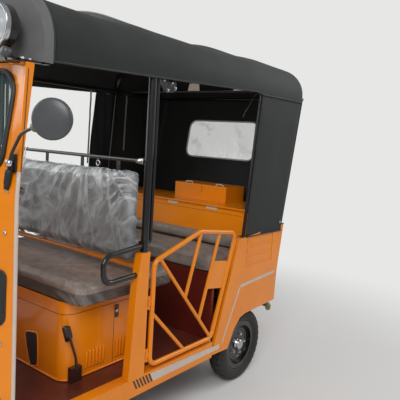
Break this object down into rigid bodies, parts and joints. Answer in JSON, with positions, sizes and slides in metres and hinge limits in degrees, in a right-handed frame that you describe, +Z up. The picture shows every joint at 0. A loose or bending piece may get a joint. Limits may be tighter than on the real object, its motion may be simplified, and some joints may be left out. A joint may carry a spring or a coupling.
{
  "type": "auto rickshaw",
  "caption": "Three-wheeled passenger rickshaw with open tube gates, a fabric hood on bows and facing bench seats.",
  "frame": {"origin": "on the ground, in the middle of the vehicle's box", "axes": "+X to the vehicle's left, -Y forward, +Z up"},
  "size_m": [1.8676, 2.7644, 2.1056],
  "materials": {
    "orange_paint": "gloss",
    "black_steel": "satin",
    "chassis_paint": "satin",
    "floor_paint": "satin",
    "olive_steel": "satin",
    "tyre_rubber": "matte",
    "spring_steel": "satin",
    "axle_iron": "rough",
    "bright_steel": "gloss",
    "hood_fabric": "matte",
    "visor_cover": "satin",
    "curtain_fabric": "matte",
    "window_film": "gloss",
    "screen_glass": "gloss",
    "seat_vinyl": "satin",
    "backrest_vinyl": "satin",
    "lamp_body": "gloss",
    "lamp_red": "gloss",
    "mirror_back": "gloss",
    "dash_plastic": "matte",
    "battery_case": "matte",
    "control_steel": "satin"
  },
  "bodies": {
    "root": {"chassis": "chassis_paint", "rear_axle": "axle_iron", "leaf_springs": "spring_steel", "floor": "floor_paint", "sills": "orange_paint", "front_cowl": "orange_paint", "windscreen": "screen_glass", "roof_visor": "visor_cover", "roof_lamps": "lamp_body", "hood": "hood_fabric", "rear_window": "window_film", "side_curtain": "curtain_fabric", "roof_frame": "black_steel", "door_posts": "orange_paint", "grab_loops": "black_steel", "seat_box": "orange_paint", "battery": "battery_case", "front_seat_cushion": "seat_vinyl", "backrest_bars": "orange_paint", "driver_backrest": "backrest_vinyl", "driver_controls": "control_steel", "bench_box": "orange_paint", "rear_seat_cushion": "seat_vinyl", "rear_backrest": "seat_vinyl", "parcel_box": "orange_paint", "tool_chest": "orange_paint", "rear_quarter_left": "orange_paint", "rear_quarter_right": "orange_paint", "tail_panel": "orange_paint", "tail_lamps": "lamp_red", "rear_bumper": "olive_steel", "mirrors": "mirror_back", "headlamps": "lamp_body", "dashboard": "dash_plastic"},
    "steering": {"fork": "black_steel", "handlebar": "bright_steel", "front_mudguard": "orange_paint"},
    "front_wheel": {"front_tyre": "tyre_rubber", "front_rim": "black_steel"},
    "rear_left_wheel": {"rear_left_tyre": "tyre_rubber", "rear_left_rim": "black_steel"},
    "rear_right_wheel": {"rear_right_tyre": "tyre_rubber", "rear_right_rim": "black_steel"},
    "left_gate": {"gate_left": "orange_paint"},
    "right_gate": {"gate_right": "orange_paint"},
    "chest_lid": {"tool_chest_lid": "orange_paint"}
  },
  "joints": [
    {"name": "steer", "type": "hinge", "parent": "root", "child": "steering", "pos_m": [0, -1.10841, 0.21132], "axis": [0, 0.342, 0.9397], "range_deg": [-35, 35]},
    {"name": "front_wheel_spin", "type": "hinge", "parent": "steering", "child": "front_wheel", "pos_m": [0, -1.146, 0.225], "axis": [1, 0, 0], "continuous": true},
    {"name": "rear_left_wheel_spin", "type": "hinge", "parent": "root", "child": "rear_left_wheel", "pos_m": [0.548, 0.834, 0.225], "axis": [1, 0, 0], "continuous": true},
    {"name": "rear_right_wheel_spin", "type": "hinge", "parent": "root", "child": "rear_right_wheel", "pos_m": [-0.548, 0.834, 0.225], "axis": [1, 0, 0], "continuous": true},
    {"name": "left_gate_swing", "type": "hinge", "parent": "root", "child": "left_gate", "pos_m": [0.6225, -0.07, 0.6], "axis": [0, 0, -1], "range_deg": [0, 100]},
    {"name": "right_gate_swing", "type": "hinge", "parent": "root", "child": "right_gate", "pos_m": [-0.6225, -0.07, 0.6], "axis": [0, 0, 1], "range_deg": [0, 100]},
    {"name": "chest_lid_lift", "type": "hinge", "parent": "root", "child": "chest_lid", "pos_m": [0.139, 1.121, 1.1663], "axis": [-1, 0, 0], "range_deg": [0, 100]}
  ]
}
